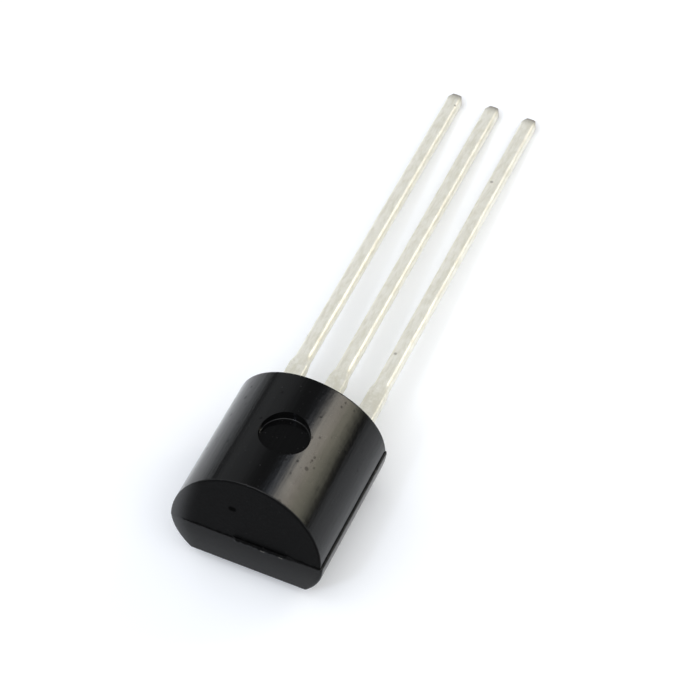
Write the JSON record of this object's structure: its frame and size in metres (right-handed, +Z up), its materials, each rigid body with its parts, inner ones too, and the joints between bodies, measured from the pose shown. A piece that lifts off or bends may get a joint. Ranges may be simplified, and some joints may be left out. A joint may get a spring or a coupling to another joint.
{
  "type": "voltage detector",
  "caption": "Voltage detector in a D-shaped black moulded package with a row of straight tinned leads for soldering into a board.",
  "frame": {"origin": "centre of the package's flat side, on the surface that the part lies on", "axes": "+Z up, from the flat towards the round side; +Y along the leads, from the package towards their tips; +X across the leads"},
  "size_m": [0.0048, 0.019, 0.0038],
  "materials": {
    "moulding_compound": "black epoxy moulding compound, satin, with fine specks",
    "tinned_metal": "tin-dipped, bright on the rounded edges and dull in patches",
    "silicon": "polished silicon",
    "silver_epoxy": "silver-filled epoxy",
    "gold": "drawn gold wire"
  },
  "bodies": {
    "root": {"moulded_body": "moulding_compound", "lead_1": "tinned_metal", "lead_2": "tinned_metal", "lead_3": "tinned_metal", "detector_die": "silicon", "die_attach": "silver_epoxy", "bond_wire_1": "gold", "bond_wire_2": "gold", "bond_wire_3": "gold"}
  },
  "joints": []
}
